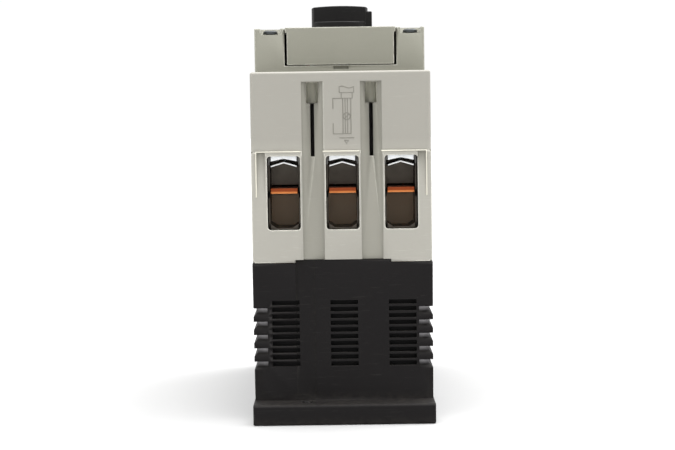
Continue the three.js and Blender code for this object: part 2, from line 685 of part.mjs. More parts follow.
// Splitter plates between two side boards.
function arcChute() {
  const boards = sides.map((side) => sideBlock(side, chute.inner, chute.outer,
    chute.front, chute.back, chute.bottom, chute.top));
  const plates = [];
  for (let y = chute.firstPlate; y <= chute.lastPlate; y += chute.platePitch) {
    plates.push(block(-chute.plateHalfX, chute.plateHalfX, y - chute.plateHalf, y + chute.plateHalf,
      chute.bottom + chute.inset, chute.top - chute.inset));
  }
  return joined([...boards, ...plates]);
}

// The winding of the short-circuit trip, with the second fixed contact on its foot.
function tripCoil() {
  const valley = coil.outer - coil.groove;
  const profile = [];
  for (let i = 0; i < coil.turns; i += 1) {
    const z = coil.bottom + i * coil.turn;
    profile.push([valley, z], [coil.outer, z + coil.turn * 0.3], [coil.outer, z + coil.turn * 0.7]);
  }
  const top = coil.bottom + coil.turns * coil.turn;
  profile.push([valley, top], [coil.inner, top], [coil.inner, coil.bottom], profile[0]);
  const winding = turned(profile, 16).translate(0, coil.y, 0);
  return joined([
    winding,
    block(-bar.footHalfX, bar.footHalfX, contact.restY - contact.footReach,
      coil.y - coil.inner - coil.footGap, contact.footTop - bar.thick, contact.footTop),
    contactTip(contact.restY, contact.footTop - contact.bedded, contact.footTop + contact.thick),
  ]);
}

function plunger() {
  const { bottom, radius, shoulder, rodRadius, top } = plungerSize;
  const profile = [
    [0, bottom],
    [radius, bottom],
    [radius, shoulder],
    [rodRadius, shoulder],
    [rodRadius, top],
    [0, top],
  ];
  return turned(profile, 14).translate(0, coil.y, 0);
}

function bimetalStrip() {
  return joined([bimetal, heater].map((part) => block(-part.halfX, part.halfX,
    part.front, part.back, part.bottom, part.top)));
}

function coverScrewBody() {
  const seat = recess.floor + gap;
  const { radius, bottom, headRadius, headTop, crossReach, crossHalf, crossDepth } = coverScrew;
  const body = turned([
    [0, bottom],
    [radius, bottom],
    [radius, seat],
    [headRadius, seat],
    [headRadius - coverScrew.rim, headTop - coverScrew.rimDrop],
    [headRadius - coverScrew.crown, headTop],
    [0, headTop],
  ], 18);
  return cut(body, [
    block(-crossReach, crossReach, -crossHalf, crossHalf, headTop - crossDepth, headTop + over),
    block(-crossHalf, crossHalf, -crossReach, crossReach, headTop - crossDepth, headTop + over),
  ]);
}

// ---- assembly ----

function addHousings() {
  addPiece('base_housing', baseHousing(), 'darkPlastic');
  const whole = lightHousing();
  addPiece('middle_housing', middleHousing(whole), 'lightPlastic');
  addPiece('terminal_block_line', terminalBlock(whole, -1), 'lightPlastic');
  addPiece('terminal_block_load', terminalBlock(whole, 1), 'lightPlastic');
  addPiece('front_cover', frontCover(), 'coverPlastic');
  addPiece('aux_slot_cover', auxSlotPanel(), 'coverPlastic');
  addPiece('rail_latch', railLatch(), 'blackPlastic');
  addPiece('rating_label', block(axisX - label.halfX, axisX + label.halfX, -label.front, -label.back,
    label.bottom, label.top), 'whitePlastic');
  let number = 1;
  for (const end of ends) {
    for (const side of sides) {
      const fastener = addPiece(`cover_screw_${number}`, coverScrewBody(), 'zincSteel');
      fastener.position.set(axisX + side * coverScrew.x, end * coverScrew.y, 0);
      number += 1;
    }
  }
}

function addControls() {
  const handle = new THREE.Group();
  handle.position.x = axisX;
  breaker.add(handle);
  addPiece('rotary_handle', rotaryHandle(), 'blackPlastic', handle);
  addPiece('handle_lock_tab', lockTab(), 'zincSteel', handle);
  addPiece('handle_shaft', handleShaft(), 'zincSteel', handle);
  const adjuster = addPiece('setting_dial', settingDial(), 'whitePlastic');
  adjuster.position.set(dial.x, dial.y, 0);
  const key = addPiece('test_button', testButton(), 'redPlastic');
  key.position.set(testKey.x, testKey.y, 0);
  addPiece('switch_lock_frame', switchFrame(), 'zincSteel');
  addPiece('contact_carrier', contactCarrier(), 'innerPlastic');
  addPiece('trip_bar', tripBar(), 'innerPlastic');
}

function addTerminal(end, pole) {
  const name = `${end < 0 ? 'line' : 'load'}_${pole + 1}`;
  const terminal = new THREE.Group();
  terminal.position.set(poles[pole], end * terminalY, 0);
  terminal.rotation.z = end < 0 ? 0 : Math.PI;
  breaker.add(terminal);
  addPiece(`clamp_cage_${name}`, clampCage(), 'darkSteel', terminal);
  addPiece(`pressure_plate_${name}`, pressurePlate(), 'zincSteel', terminal);
  addPiece(`clamp_screw_${name}`, clampScrew(), 'zincSteel', terminal);
}

function addPole(pole) {
  const number = pole + 1;
  const current = new THREE.Group();
  current.position.x = poles[pole];
  breaker.add(current);
  addPiece(`line_bar_${number}`, lineBar(), 'copper', current);
  addPiece(`load_bar_${number}`, loadBar(), 'copper', current);
  addPiece(`contact_bridge_${number}`, contactBridge(), 'copper', current);
  addPiece(`arc_chute_${number}`, arcChute(), 'darkSteel', current);
  addPiece(`trip_coil_${number}`, tripCoil(), 'copper', current);
  addPiece(`plunger_${number}`, plunger(), 'darkSteel', current);
  addPiece(`bimetal_${number}`, bimetalStrip(), 'darkSteel', current);
}

addHousings();
addControls();
for (const end of ends) {
  poles.forEach((_, pole) => addTerminal(end, pole));
}
poles.forEach((_, pole) => addPole(pole));

export default breaker;
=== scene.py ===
import math

import bmesh
import bpy
from mathutils import Matrix, Vector


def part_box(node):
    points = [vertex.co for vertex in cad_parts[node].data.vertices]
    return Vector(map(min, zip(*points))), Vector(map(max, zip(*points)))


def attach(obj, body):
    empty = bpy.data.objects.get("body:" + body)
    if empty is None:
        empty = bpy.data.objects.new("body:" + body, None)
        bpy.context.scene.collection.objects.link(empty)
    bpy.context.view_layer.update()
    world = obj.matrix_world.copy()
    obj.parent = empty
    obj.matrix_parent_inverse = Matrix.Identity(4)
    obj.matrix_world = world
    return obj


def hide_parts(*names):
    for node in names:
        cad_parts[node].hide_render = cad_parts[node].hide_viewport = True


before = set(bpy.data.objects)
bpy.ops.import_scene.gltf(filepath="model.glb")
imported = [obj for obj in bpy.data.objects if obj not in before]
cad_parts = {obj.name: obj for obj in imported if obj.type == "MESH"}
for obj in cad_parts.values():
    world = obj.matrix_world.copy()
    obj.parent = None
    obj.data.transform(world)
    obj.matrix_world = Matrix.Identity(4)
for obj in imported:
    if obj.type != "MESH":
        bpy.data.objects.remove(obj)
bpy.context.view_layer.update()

mm = 0.001
scene = bpy.context.scene
poleNumbers = (1, 2, 3)
endNames = ("line", "load")


def middle(node):
    low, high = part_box(node)
    return (low + high) / 2


# places that many pieces share, read from the frame
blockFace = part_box("terminal_block_line")[0].y
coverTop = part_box("front_cover")[1].z
poleX = [middle(f"line_bar_{number}").x for number in poleNumbers]
knobX = middle("handle_shaft").x


def newGroup(name, inputs, outputs):
    group = bpy.data.node_groups.new(name, "ShaderNodeTree")
    for label, kind, value in inputs:
        socket = group.interface.new_socket(name=label, in_out="INPUT", socket_type=kind)
        if value is not None:
            socket.default_value = value
    for label, kind in outputs:
        group.interface.new_socket(name=label, in_out="OUTPUT", socket_type=kind)
    entry = group.nodes.new("NodeGroupInput")
    leave = group.nodes.new("NodeGroupOutput")
    entry.location = (-900, 0)
    leave.location = (500, 0)
    return group, entry.outputs, leave.inputs


def addNode(tree, kind, inputs=None, **settings):
    node = tree.nodes.new(kind)
    for key, value in settings.items():
        setattr(node, key, value)
    for key, value in (inputs or {}).items():
        if isinstance(value, bpy.types.NodeSocket):
            tree.links.new(value, node.inputs[key])
        else:
            node.inputs[key].default_value = value
    return node


def addMath(tree, operation, first, second=0.5, third=0.5, clamp=False):
    node = addNode(tree, "ShaderNodeMath", {0: first, 1: second, 2: third},
                   operation=operation, use_clamp=clamp)
    return node.outputs[0]


def addNoise(tree, vector, scale, detail=2.0, rough=0.5):
    node = addNode(tree, "ShaderNodeTexNoise", {
        "Vector": vector, "Scale": scale, "Detail": detail, "Roughness": rough})
    return node.outputs["Fac"]


def addRange(tree, value, low, high, newLow=0.0, newHigh=1.0):
    node = addNode(tree, "ShaderNodeMapRange", {
        "Value": value, "From Min": low, "From Max": high, "To Min": newLow, "To Max": newHigh})
    return node.outputs["Result"]


def addMix(tree, factor, first, second, blend="MIX"):
    node = addNode(tree, "ShaderNodeMix", data_type="RGBA", blend_type=blend)
    for socket, value in ((node.inputs[0], factor), (node.inputs[6], first), (node.inputs[7], second)):
        if isinstance(value, bpy.types.NodeSocket):
            tree.links.new(value, socket)
        else:
            socket.default_value = value
    return node.outputs[2]


floatKind, colorKind, vectorKind = "NodeSocketFloat", "NodeSocketColor", "NodeSocketVector"


# spark-eroded mould texture: fine pits over a soft swell
def makeGrainGroup():
    group, given, result = newGroup(
        "Moulded Grain",
        [("Vector", vectorKind, None), ("Grain Size", floatKind, 0.0005), ("Swell", floatKind, 0.3)],
        [("Height", floatKind)])
    scale = addMath(group, "DIVIDE", 1.0, given["Grain Size"])
    fine = addNoise(group, given["Vector"], scale, 3.0, 0.65)
    pits = addNode(group, "ShaderNodeTexVoronoi", {"Vector": given["Vector"], "Scale": scale}, feature="F1")
    soft = addNoise(group, given["Vector"], 160.0, 2.0, 0.5)
    mixed = addMath(group, "MULTIPLY_ADD", pits.outputs["Distance"], 0.5, fine)
    height = addMath(group, "MULTIPLY_ADD", soft, given["Swell"], mixed)
    group.links.new(height, result["Height"])
    return group


# slow drift of a colour, as pigment and handling leave it
def makeDriftGroup():
    group, given, result = newGroup(
        "Tone Drift",
        [("Vector", vectorKind, None), ("Color", colorKind, (0.5, 0.5, 0.5, 1)),
         ("Tint", colorKind, (0.5, 0.5, 0.5, 1)), ("Amount", floatKind, 0.3), ("Size", floatKind, 0.02)],
        [("Color", colorKind), ("Mask", floatKind)])
    scale = addMath(group, "DIVIDE", 1.0, given["Size"])
    broad = addNoise(group, given["Vector"], scale, 4.0, 0.6)
    speck = addNoise(group, given["Vector"], addMath(group, "MULTIPLY", scale, 22.0), 2.0, 0.7)
    mask = addRange(group, addMath(group, "MULTIPLY_ADD", speck, 0.35, broad), 0.45, 0.95)
    factor = addMath(group, "MULTIPLY", mask, given["Amount"], clamp=True)
    group.links.new(addMix(group, factor, given["Color"], given["Tint"]), result["Color"])
    group.links.new(mask, result["Mask"])
    return group


# rubbed edges and painted edge highlights: where the rounded normal leaves the true one, broken up by noise
def makeEdgeWearAndHighlightGroup():
    group, given, result = newGroup(
        "Rubbed Edges And Highlights",
        [("Vector", vectorKind, None), ("Radius", floatKind, 0.0006), ("Amount", floatKind, 1.0),
         ("Patch Size", floatKind, 0.004)],
        [("Mask", floatKind)])
    rounded = addNode(group, "ShaderNodeBevel", {"Radius": given["Radius"]}, samples=4)
    flat = addNode(group, "ShaderNodeNewGeometry")
    alike = addNode(group, "ShaderNodeVectorMath",
                    {0: rounded.outputs["Normal"], 1: flat.outputs["Normal"]}, operation="DOT_PRODUCT")
    edge = addRange(group, addMath(group, "SUBTRACT", 1.0, alike.outputs["Value"]), 0.01, 0.16)
    hollow = addNode(group, "ShaderNodeAmbientOcclusion", {"Distance": 0.0016}, samples=4)
    proud = addMath(group, "MULTIPLY", edge, addRange(group, hollow.outputs["AO"], 0.72, 0.95))
    patch = addNoise(group, given["Vector"], addMath(group, "DIVIDE", 1.0, given["Patch Size"]), 5.0, 0.7)
    broken = addMath(group, "MULTIPLY", proud, addRange(group, patch, 0.3, 0.5))
    group.links.new(addMath(group, "MULTIPLY", broken, given["Amount"], clamp=True), result["Mask"])
    return group


# 1 inside a box about the middle of the breaker, fading over a thin skin
def makeInsideGroup():
    group, given, result = newGroup(
        "Inside Of",
        [("Vector", vectorKind, None), ("Half X", floatKind, 0.033), ("Half Y", floatKind, 0.069),
         ("Low Z", floatKind, 0.06), ("High Z", floatKind, 0.131), ("Skin", floatKind, 0.0006)],
        [("Mask", floatKind)])
    split = addNode(group, "ShaderNodeSeparateXYZ", {"Vector": given["Vector"]})
    across = addMath(group, "SUBTRACT", given["Half X"], addMath(group, "ABSOLUTE", split.outputs["X"]))
    along = addMath(group, "SUBTRACT", given["Half Y"], addMath(group, "ABSOLUTE", split.outputs["Y"]))
    under = addMath(group, "SUBTRACT", given["High Z"], split.outputs["Z"])
    above = addMath(group, "SUBTRACT", split.outputs["Z"], given["Low Z"])
    level = addMath(group, "MINIMUM", addMath(group, "MINIMUM", across, along),
                    addMath(group, "MINIMUM", under, above))
    group.links.new(addMath(group, "DIVIDE", level, given["Skin"], clamp=True), result["Mask"])
    return group


# painted sheen, in bands repeated down a stack of finger grooves, strongest where each groove is deepest
def makeGrooveSheenGroup():
    group, given, result = newGroup(
        "Groove Sheen",
        [("Vector", vectorKind, None), ("Top Z", floatKind, 0.0437), ("Pitch", floatKind, 0.0052),
         ("Count", floatKind, 5.0), ("Inner X", floatKind, 0.0294), ("Outer X", floatKind, 0.0345),
         ("Share", floatKind, 0.36)],
        [("Mask", floatKind)])
    split = addNode(group, "ShaderNodeSeparateXYZ", {"Vector": given["Vector"]})
    below = addMath(group, "SUBTRACT", given["Top Z"], split.outputs["Z"])
    steps = addMath(group, "DIVIDE", below, given["Pitch"])
    phase = addMath(group, "DIVIDE", addMath(group, "FRACT", steps), given["Share"])
    band = addMath(group, "SUBTRACT", 1.0, phase, clamp=True)
    started = addMath(group, "GREATER_THAN", steps, 0.0)
    ended = addMath(group, "LESS_THAN", steps, given["Count"])
    acrossX = addMath(group, "ABSOLUTE", split.outputs["X"])
    inner = addMath(group, "GREATER_THAN", acrossX, given["Inner X"])
    outer = addMath(group, "LESS_THAN", acrossX, given["Outer X"])
    within = addMath(group, "MULTIPLY", addMath(group, "MULTIPLY", started, ended),
                     addMath(group, "MULTIPLY", inner, outer))
    group.links.new(addMath(group, "MULTIPLY", band, within), result["Mask"])
    return group


# dust that settles on upward faces and in corners; on light finishes the corner part is painted shade
def makeDustAndCornerShadeGroup():
    group, given, result = newGroup(
        "Settled Dust And Corner Shade",
        [("Vector", vectorKind, None), ("Amount", floatKind, 0.3), ("Reach", floatKind, 0.004)],
        [("Mask", floatKind)])
    shade = addNode(group, "ShaderNodeAmbientOcclusion", {"Distance": given["Reach"]}, samples=4)
    corner = addMath(group, "SUBTRACT", 1.0, shade.outputs["AO"])
    geometry = addNode(group, "ShaderNodeNewGeometry")
    split = addNode(group, "ShaderNodeSeparateXYZ", {"Vector": geometry.outputs["Normal"]})
    upward = addRange(group, split.outputs["Z"], 0.3, 1.0, 0.0, 0.5)
    patch = addRange(group, addNoise(group, given["Vector"], 420.0, 6.0, 0.7), 0.35, 0.75)
    base = addMath(group, "MAXIMUM", corner, upward)
    mask = addMath(group, "MULTIPLY", addMath(group, "MULTIPLY", base, patch), given["Amount"], clamp=True)
    group.links.new(mask, result["Mask"])
    return group


# fine straight scuffs at a few directions
def makeScuffGroup():
    group, given, result = newGroup(
        "Fine Scuffs",
        [("Vector", vectorKind, None), ("Amount", floatKind, 0.3)],
        [("Mask", floatKind)])
    total = None
    for turn, stretch in ((0.5, 14.0), (-0.9, 20.0), (1.35, 26.0)):
        spin = addNode(group, "ShaderNodeMapping", {
            "Vector": given["Vector"], "Rotation": (0.2, turn, turn * 0.7), "Scale": (1.0, 1.0, stretch)})
        lines = addNoise(group, spin.outputs["Vector"], 90.0, 3.0, 0.6)
        thin = addRange(group, lines, 0.665, 0.7)
        total = thin if total is None else addMath(group, "MAXIMUM", total, thin)
    group.links.new(addMath(group, "MULTIPLY", total, given["Amount"], clamp=True), result["Mask"])
    return group


# rolled or drawn metal: lines along one direction, with a cloudy bloom
def makeRolledGroup():
    group, given, result = newGroup(
        "Rolled Metal",
        [("Vector", vectorKind, None), ("Along", vectorKind, (1.0, 1.0, 20.0)),
         ("Line Size", floatKind, 0.0004)],
        [("Lines", floatKind), ("Bloom", floatKind)])
    stretched = addNode(group, "ShaderNodeVectorMath", {0: given["Vector"], 1: given["Along"]},
                        operation="MULTIPLY")
    scale = addMath(group, "DIVIDE", 1.0, given["Line Size"])
    group.links.new(addNoise(group, stretched.outputs["Vector"], scale, 3.0, 0.6), result["Lines"])
    cloud = addNoise(group, given["Vector"], 260.0, 5.0, 0.65)
    group.links.new(addRange(group, cloud, 0.3, 0.7), result["Bloom"])
    return group


grainGroup = makeGrainGroup()
driftGroup = makeDriftGroup()
edgeWearAndHighlightGroup = makeEdgeWearAndHighlightGroup()
insideGroup = makeInsideGroup()
grooveSheenGroup = makeGrooveSheenGroup()
dustAndCornerShadeGroup = makeDustAndCornerShadeGroup()
scuffGroup = makeScuffGroup()
rolledGroup = makeRolledGroup()
print("shader groups made")


def useGroup(tree, group, **inputs):
    node = tree.nodes.new("ShaderNodeGroup")
    node.node_tree = group
    for label, value in inputs.items():
        socket = node.inputs[label.replace("_", " ")]
        if isinstance(value, bpy.types.NodeSocket):
            tree.links.new(value, socket)
        else:
            socket.default_value = value
    return node.outputs


def startMaterial(name):
    material = bpy.data.materials.new(name)
    material.use_nodes = True
    tree = material.node_tree
    shader = tree.nodes["Principled BSDF"]
    place = tree.nodes.new("ShaderNodeTexCoord").outputs["Object"]
    return material, tree, shader, place


# each zone paints shade or light into the colour inside a box: (half x, half y, low z, high z, skin, share,
# color), lengths in mm
def shadeInside(tree, place, color, look):
    for halfX, halfY, lowZ, highZ, skin, share, shade in look.get("zones", ()):
        zone = useGroup(tree, insideGroup, Vector=place, Half_X=halfX * mm, Half_Y=halfY * mm,
                        Low_Z=lowZ * mm, High_Z=highZ * mm, Skin=skin * mm)
        color = addMix(tree, addMath(tree, "MULTIPLY", zone["Mask"], share), color, shade)
    return color


def plasticMaterial(name, look):
    material, tree, shader, place = startMaterial(name)
    drift = useGroup(tree, driftGroup, Vector=place, Color=look["color"], Tint=look["tint"],
                     Amount=look["drift"], Size=look["driftSize"])
    edges = useGroup(tree, edgeWearAndHighlightGroup, Vector=place, Radius=look["edgeRadius"], Amount=look["edge"])
    dustAndShade = useGroup(tree, dustAndCornerShadeGroup, Vector=place, Amount=look["dustAndShade"])
    scuffs = useGroup(tree, scuffGroup, Vector=place, Amount=look["scuffs"])
    grain = useGroup(tree, grainGroup, Vector=place, Grain_Size=look["grainSize"])
    # edge wear mixed with painted edge highlights
    wearAndPaintedLight = addMix(tree, edges["Mask"], drift["Color"], look["edgeWearAndHighlightColor"])
    # dust colour; in the corners of light finishes this is painted shade
    dustyAndShaded = addMix(tree, dustAndShade["Mask"], wearAndPaintedLight, look["dustAndShadeColor"])
    scuffed = addMix(tree, scuffs["Mask"], dustyAndShaded, look["scuffColor"])
    # painted sheen in the finger grooves
    if "grooveSheenColor" in look:
        sheen = useGroup(tree, grooveSheenGroup, Vector=place)
        scuffed = addMix(tree, sheen["Mask"], scuffed, look["grooveSheenColor"])
    # painted shade and light in the listed zones
    scuffed = shadeInside(tree, place, scuffed, look)
    tree.links.new(scuffed, shader.inputs["Base Color"])
    rough = addRange(tree, drift["Mask"], 0.0, 1.0, look["rough"] - 0.05, look["rough"] + 0.07)
    rough = addMath(tree, "MULTIPLY_ADD", edges["Mask"], -0.12, rough)
    rough = addMath(tree, "MULTIPLY_ADD", dustAndShade["Mask"], 0.2, rough, clamp=True)
    tree.links.new(rough, shader.inputs["Roughness"])
    shader.inputs["Specular IOR Level"].default_value = look["specular"]
    rounded = addNode(tree, "ShaderNodeBevel", {"Radius": look["edgeRadius"] * 0.6}, samples=6)
    bump = addNode(tree, "ShaderNodeBump", {
        "Height": grain["Height"], "Strength": look["grainDepth"], "Distance": 0.00004,
        "Normal": rounded.outputs["Normal"]})
    tree.links.new(bump.outputs["Normal"], shader.inputs["Normal"])
    return material


def metalMaterial(name, look):
    material, tree, shader, place = startMaterial(name)
    rolled = useGroup(tree, rolledGroup, Vector=place, Along=look["along"], Line_Size=look["lineSize"])
    edges = useGroup(tree, edgeWearAndHighlightGroup, Vector=place, Radius=0.0004, Amount=look["edge"])
    scuffs = useGroup(tree, scuffGroup, Vector=place, Amount=look["scuffs"])
    bloomed = addMix(tree, rolled["Bloom"], look["color"], look["tint"])
    lineShare = addMath(tree, "MULTIPLY", rolled["Lines"], look["lineTone"])
    lined = addMix(tree, lineShare, bloomed, look["lineColor"])
    # edge wear mixed with painted edge highlights
    wearAndPaintedLight = addMix(tree, edges["Mask"], lined, look["edgeWearAndHighlightColor"])
    # painted shade in the listed zones
    wearAndPaintedLight = shadeInside(tree, place, wearAndPaintedLight, look)
    tree.links.new(wearAndPaintedLight, shader.inputs["Base Color"])
    shader.inputs["Metallic"].default_value = 1.0
    rough = addRange(tree, rolled["Bloom"], 0.0, 1.0, look["rough"] - 0.06, look["rough"] + 0.1)
    rough = addMath(tree, "MULTIPLY_ADD", scuffs["Mask"], 0.15, rough, clamp=True)
    tree.links.new(rough, shader.inputs["Roughness"])
    rounded = addNode(tree, "ShaderNodeBevel", {"Radius": 0.0002}, samples=6)
    bump = addNode(tree, "ShaderNodeBump", {
        "Height": rolled["Lines"], "Strength": look["lineDepth"], "Distance": 0.00002,
        "Normal": rounded.outputs["Normal"]})
    tree.links.new(bump.outputs["Normal"], shader.inputs["Normal"])
    return material


def tone(red, green, blue):
    return (red, green, blue, 1.0)


plasticLooks = {
    "housingGrey": {
        "color": tone(0.325, 0.314, 0.278), "tint": tone(0.355, 0.344, 0.305), "drift": 0.5,
        "driftSize": 0.03,
        # painted shade and light: upper panels darker, recesses darker, the interiors behind the mouths and
        # slits near black, a lit tone on the chamber back below the bars, and a painted highlight on the
        # pocket backs
        "zones": [(40, 90, 104.0, 150, 5.2, 0.45, tone(0.245, 0.235, 0.208)),
                  (33.2, 69.7, 60, 132, 0.6, 0.4, tone(0.16, 0.157, 0.12)),
                  (33.5, 68.75, 66, 122.6, 0.3, 1.0, tone(0.022, 0.018, 0.015)),
                  (31.4, 55, 60, 131.2, 0.3, 1.0, tone(0.022, 0.018, 0.015)),
                  (31.4, 47.5, 60, 87.5, 1.5, 1.0, tone(0.36, 0.27, 0.175)),
                  (31.4, 68.7, 122.75, 131, 0.2, 0.8, tone(0.7, 0.69, 0.6))],
        # the light edge colour is wear with a painted edge highlight
        "edge": 0.85, "edgeRadius": 0.0008, "edgeWearAndHighlightColor": tone(0.8, 0.79, 0.7), "dustAndShade": 0.35,
        "dustAndShadeColor": tone(0.2, 0.18, 0.14), "scuffs": 0.12, "scuffColor": tone(0.58, 0.56, 0.5),
        "grainSize": 0.0005, "grainDepth": 0.35, "rough": 0.5, "specular": 0.4},
    "coverGrey": {
        "color": tone(0.236, 0.234, 0.192), "tint": tone(0.262, 0.256, 0.215), "drift": 0.55,
        "driftSize": 0.02,
        "edge": 0.85, "edgeRadius": 0.0007, "edgeWearAndHighlightColor": tone(0.8, 0.79, 0.7), "dustAndShade": 0.4,
        "dustAndShadeColor": tone(0.18, 0.17, 0.12), "scuffs": 0.06, "scuffColor": tone(0.4, 0.39, 0.33),
        "grainSize": 0.0005, "grainDepth": 0.35, "rough": 0.5, "specular": 0.4},
    "baseAnthracite": {
        "color": tone(0.0062, 0.0054, 0.0056), "tint": tone(0.009, 0.0078, 0.0078), "drift": 0.6,
        "driftSize": 0.02,
        "grooveSheenColor": tone(0.34, 0.33, 0.34),
        "edge": 0.25, "edgeRadius": 0.0006, "edgeWearAndHighlightColor": tone(0.04, 0.038, 0.035), "dustAndShade": 0.4,
        "dustAndShadeColor": tone(0.09, 0.082, 0.068), "scuffs": 0.1, "scuffColor": tone(0.08, 0.077, 0.07),
        "grainSize": 0.0006, "grainDepth": 0.6, "rough": 0.6, "specular": 0.13},
    "ventShadeBlack": {
        "color": tone(0.014, 0.014, 0.014), "tint": tone(0.02, 0.019, 0.019), "drift": 0.6,
        "driftSize": 0.01,
        "edge": 0.2, "edgeRadius": 0.0003, "edgeWearAndHighlightColor": tone(0.02, 0.02, 0.02), "dustAndShade": 0.1,
        "dustAndShadeColor": tone(0.03, 0.03, 0.03), "scuffs": 0.1, "scuffColor": tone(0.02, 0.02, 0.02),
        "grainSize": 0.0006, "grainDepth": 0.4, "rough": 0.7, "specular": 0.05},
    "knobBlack": {
        "color": tone(0.0075, 0.007, 0.007), "tint": tone(0.01, 0.0095, 0.0095), "drift": 0.5,
        "driftSize": 0.008,
        "edge": 0.5, "edgeRadius": 0.0005, "edgeWearAndHighlightColor": tone(0.05, 0.05, 0.048), "dustAndShade": 0.2,
        "dustAndShadeColor": tone(0.09, 0.08, 0.07), "scuffs": 0.2, "scuffColor": tone(0.04, 0.04, 0.038),
        "grainSize": 0.0005, "grainDepth": 0.5, "rough": 0.5, "specular": 0.13},
    "dialWhite": {
        "color": tone(0.42, 0.41, 0.37), "tint": tone(0.37, 0.355, 0.31), "drift": 0.4, "driftSize": 0.006,
        "edge": 0.2, "edgeRadius": 0.0003, "edgeWearAndHighlightColor": tone(0.82, 0.8, 0.76), "dustAndShade": 0.4,
        "dustAndShadeColor": tone(0.3, 0.27, 0.22), "scuffs": 0.2, "scuffColor": tone(0.6, 0.58, 0.52),
        "grainSize": 0.0004, "grainDepth": 0.2, "rough": 0.4, "specular": 0.45},
    "plateSilver": {
        "color": tone(0.3, 0.3, 0.29), "tint": tone(0.25, 0.25, 0.24), "drift": 0.4, "driftSize": 0.01,
        "edge": 0.2, "edgeRadius": 0.0002, "edgeWearAndHighlightColor": tone(0.75, 0.75, 0.73), "dustAndShade": 0.25,
        "dustAndShadeColor": tone(0.3, 0.28, 0.24), "scuffs": 0.3, "scuffColor": tone(0.45, 0.45, 0.43),
        "grainSize": 0.0003, "grainDepth": 0.15, "rough": 0.35, "specular": 0.5},
    "printGrey": {
        "color": tone(0.06, 0.062, 0.064), "tint": tone(0.1, 0.1, 0.1), "drift": 0.6, "driftSize": 0.003,
        "edge": 0.1, "edgeRadius": 0.0001, "edgeWearAndHighlightColor": tone(0.2, 0.2, 0.2), "dustAndShade": 0.15,
        "dustAndShadeColor": tone(0.3, 0.28, 0.24), "scuffs": 0.2, "scuffColor": tone(0.3, 0.3, 0.29),
        "grainSize": 0.0003, "grainDepth": 0.1, "rough": 0.55, "specular": 0.3},
    "reliefGrey": {
        "color": tone(0.17, 0.163, 0.14), "tint": tone(0.22, 0.213, 0.18), "drift": 0.6, "driftSize": 0.002,
        "edge": 0.1, "edgeRadius": 0.0001, "edgeWearAndHighlightColor": tone(0.3, 0.29, 0.25), "dustAndShade": 0.2,
        "dustAndShadeColor": tone(0.12, 0.11, 0.08), "scuffs": 0.1, "scuffColor": tone(0.25, 0.24, 0.2),
        "grainSize": 0.0003, "grainDepth": 0.1, "rough": 0.5, "specular": 0.4},
    "highlightWhite": {
        "color": tone(0.62, 0.6, 0.51), "tint": tone(0.68, 0.66, 0.57), "drift": 0.4, "driftSize": 0.004,
        "edge": 0.1, "edgeRadius": 0.0002, "edgeWearAndHighlightColor": tone(0.75, 0.73, 0.66), "dustAndShade": 0.15,
        "dustAndShadeColor": tone(0.3, 0.28, 0.22), "scuffs": 0.1, "scuffColor": tone(0.7, 0.68, 0.6),
        "grainSize": 0.0004, "grainDepth": 0.2, "rough": 0.45, "specular": 0.4},
    "testRed": {
        "color": tone(0.24, 0.014, 0.01), "tint": tone(0.2, 0.012, 0.008), "drift": 0.5, "driftSize": 0.003,
        "edge": 0.3, "edgeRadius": 0.0003, "edgeWearAndHighlightColor": tone(0.6, 0.1, 0.07), "dustAndShade": 0.3,
        "dustAndShadeColor": tone(0.3, 0.16, 0.12), "scuffs": 0.2, "scuffColor": tone(0.5, 0.1, 0.08),
        "grainSize": 0.0004, "grainDepth": 0.15, "rough": 0.35, "specular": 0.5},
    "innerBrown": {
        "color": tone(0.06, 0.036, 0.022), "tint": tone(0.085, 0.052, 0.032), "drift": 0.6,
        "driftSize": 0.008,
        "edge": 0.3, "edgeRadius": 0.0004, "edgeWearAndHighlightColor": tone(0.12, 0.08, 0.05), "dustAndShade": 0.2,
        "dustAndShadeColor": tone(0.15, 0.12, 0.09), "scuffs": 0.1, "scuffColor": tone(0.12, 0.08, 0.05),
        "grainSize": 0.0005, "grainDepth": 0.4, "rough": 0.55, "specular": 0.4},
}

